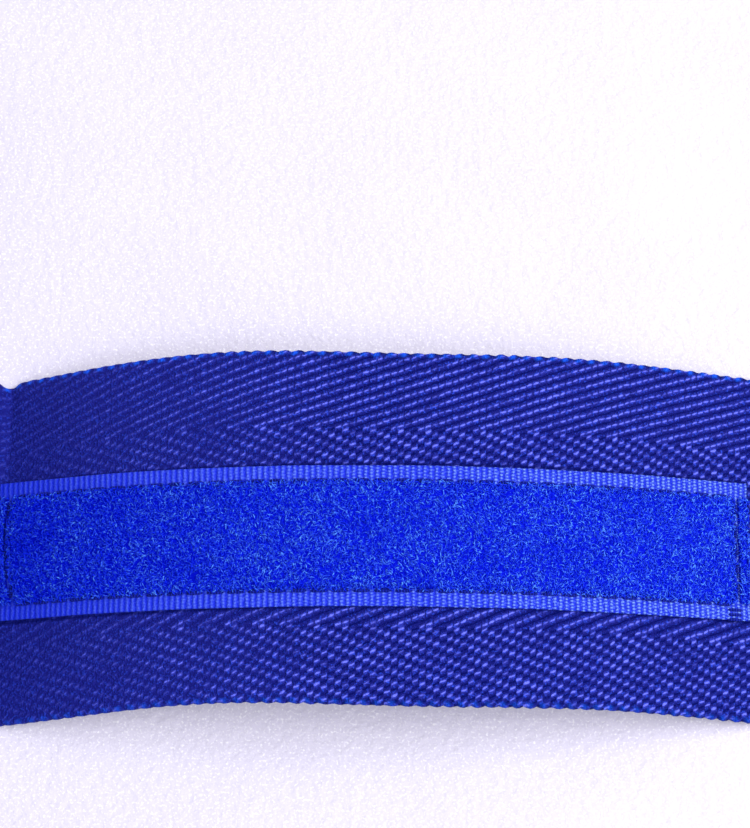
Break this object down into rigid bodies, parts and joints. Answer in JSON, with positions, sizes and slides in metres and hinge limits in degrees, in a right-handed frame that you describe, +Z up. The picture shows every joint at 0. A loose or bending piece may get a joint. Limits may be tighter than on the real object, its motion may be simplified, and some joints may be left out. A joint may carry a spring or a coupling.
{
  "type": "hand wrap",
  "caption": "Boxing hand wrap: rolled herringbone band with its end laid out, a sewn loop strip along its middle, a folded point with a hook tab, and a thumb loop.",
  "frame": {"origin": "middle of the flattened foot of the roll, straight below the roll's axis, on the surface that the wrap lies on", "axes": "+X along the laid-out band towards the hook tab, +Y across the band away from the thumb loop, +Z up"},
  "size_m": [0.2811, 0.0986, 0.0569],
  "materials": {
    "band_webbing": "woven cotton herringbone webbing, matte",
    "thumb_tape": "narrow woven cotton tape, matte",
    "tape_ground": "woven nylon tape, slight sheen",
    "loop_pile": "brushed nylon loops, soft sheen",
    "hooks": "stiff nylon hooks, satin",
    "thread": "twisted polyester sewing thread, satin"
  },
  "bodies": {
    "roll": {"band_roll": "band_webbing", "band_lead": "band_webbing", "inner_end_hem": "band_webbing", "inner_hem_stitches": "thread", "thumb_tape_ends": "thumb_tape", "thumb_tape_stitches": "thread"},
    "thumb_loop": {"thumb_loop": "thumb_tape"},
    "strip_span": {"band_strip_span": "band_webbing", "loop_tape": "tape_ground", "loop_pile": "loop_pile", "loop_tape_stitches": "thread", "loop_tape_bobbin_thread": "thread"},
    "folded_end": {"band_end": "band_webbing", "corner_fold_front": "band_webbing", "corner_fold_back": "band_webbing", "corner_fold_stitches": "thread", "hook_tape_sewn": "tape_ground", "hook_tape_stitches": "thread"},
    "hook_tab": {"hook_tab": "tape_ground", "hook_field": "hooks"}
  },
  "joints": [
    {"name": "tail_lift", "type": "hinge", "parent": "roll", "child": "strip_span", "pos_m": [0.04218, 0, 0.00082], "axis": [0, -1, 0], "range_deg": [0, 60]},
    {"name": "end_fold", "type": "hinge", "parent": "strip_span", "child": "folded_end", "pos_m": [0.15883, 0, 0.0009], "axis": [0, -1, 0], "range_deg": [0, 90]},
    {"name": "tab_peel", "type": "hinge", "parent": "folded_end", "child": "hook_tab", "pos_m": [0.19408, 0, 0.00239], "axis": [0, -1, 0], "range_deg": [0, 90]},
    {"name": "thumb_loop_swing", "type": "hinge", "parent": "roll", "child": "thumb_loop", "pos_m": [0, -0.0251, 0.02006], "axis": [-1, 0, 0], "range_deg": [0, 75]}
  ]
}
